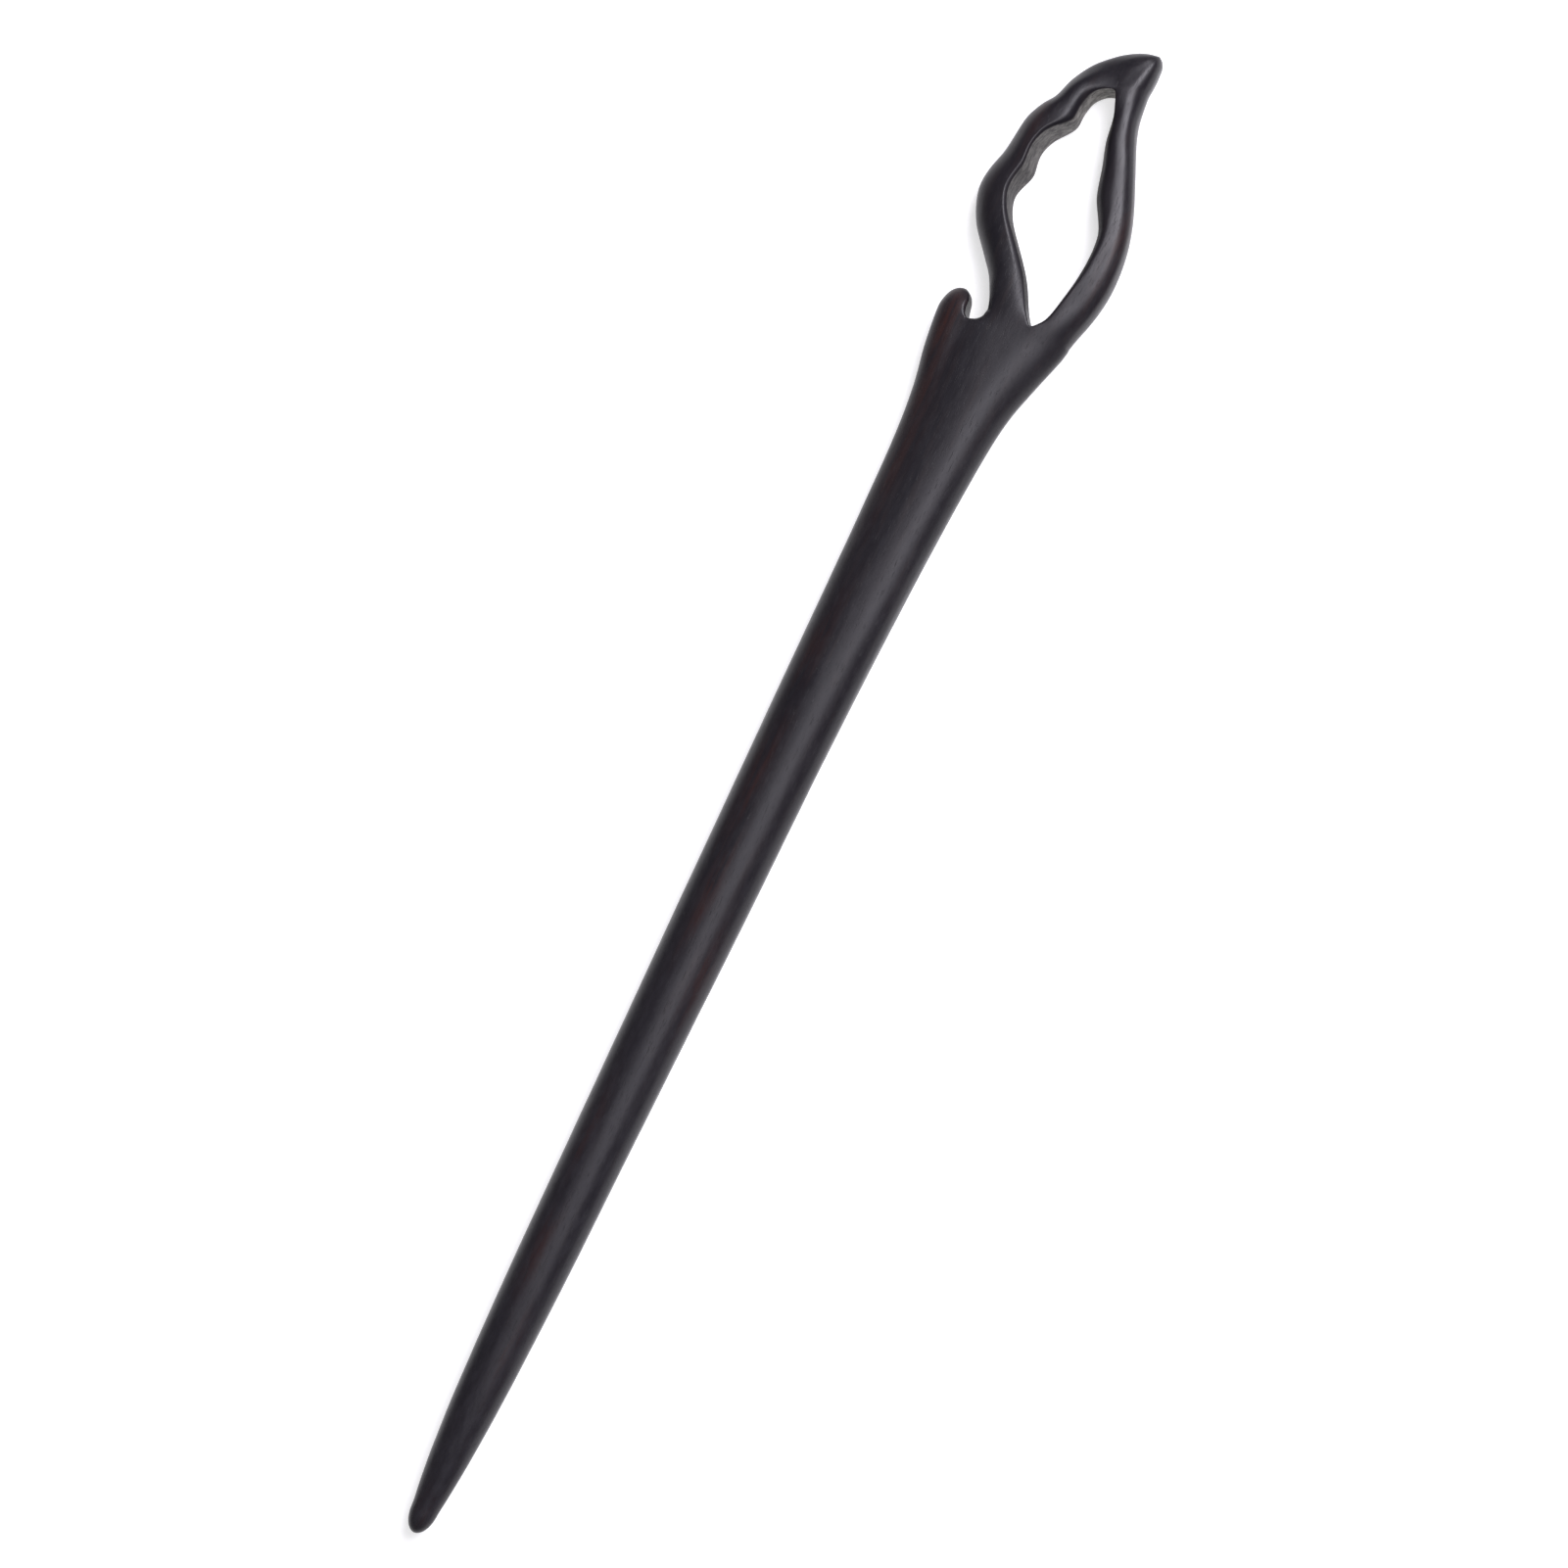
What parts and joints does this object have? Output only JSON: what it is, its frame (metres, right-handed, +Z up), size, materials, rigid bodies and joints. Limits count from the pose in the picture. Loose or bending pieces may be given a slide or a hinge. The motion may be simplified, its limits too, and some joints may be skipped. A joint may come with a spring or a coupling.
{
  "type": "hair stick",
  "caption": "Long tapered carved wooden hair stick whose shaft widens into a hooked fork and a pierced, leaf-shaped loop with a pointed end.",
  "frame": {"origin": "middle of the stick's length and width, on the surface that it lies on", "axes": "+X along the stick from its tip towards its pierced head, +Y towards the side of the hook, +Z up out of the surface"},
  "size_m": [0.18, 0.0182, 0.0064],
  "materials": {
    "dark_wood": "satin polished, fine grained"
  },
  "bodies": {
    "root": {"hair_stick": "dark_wood"}
  },
  "joints": []
}
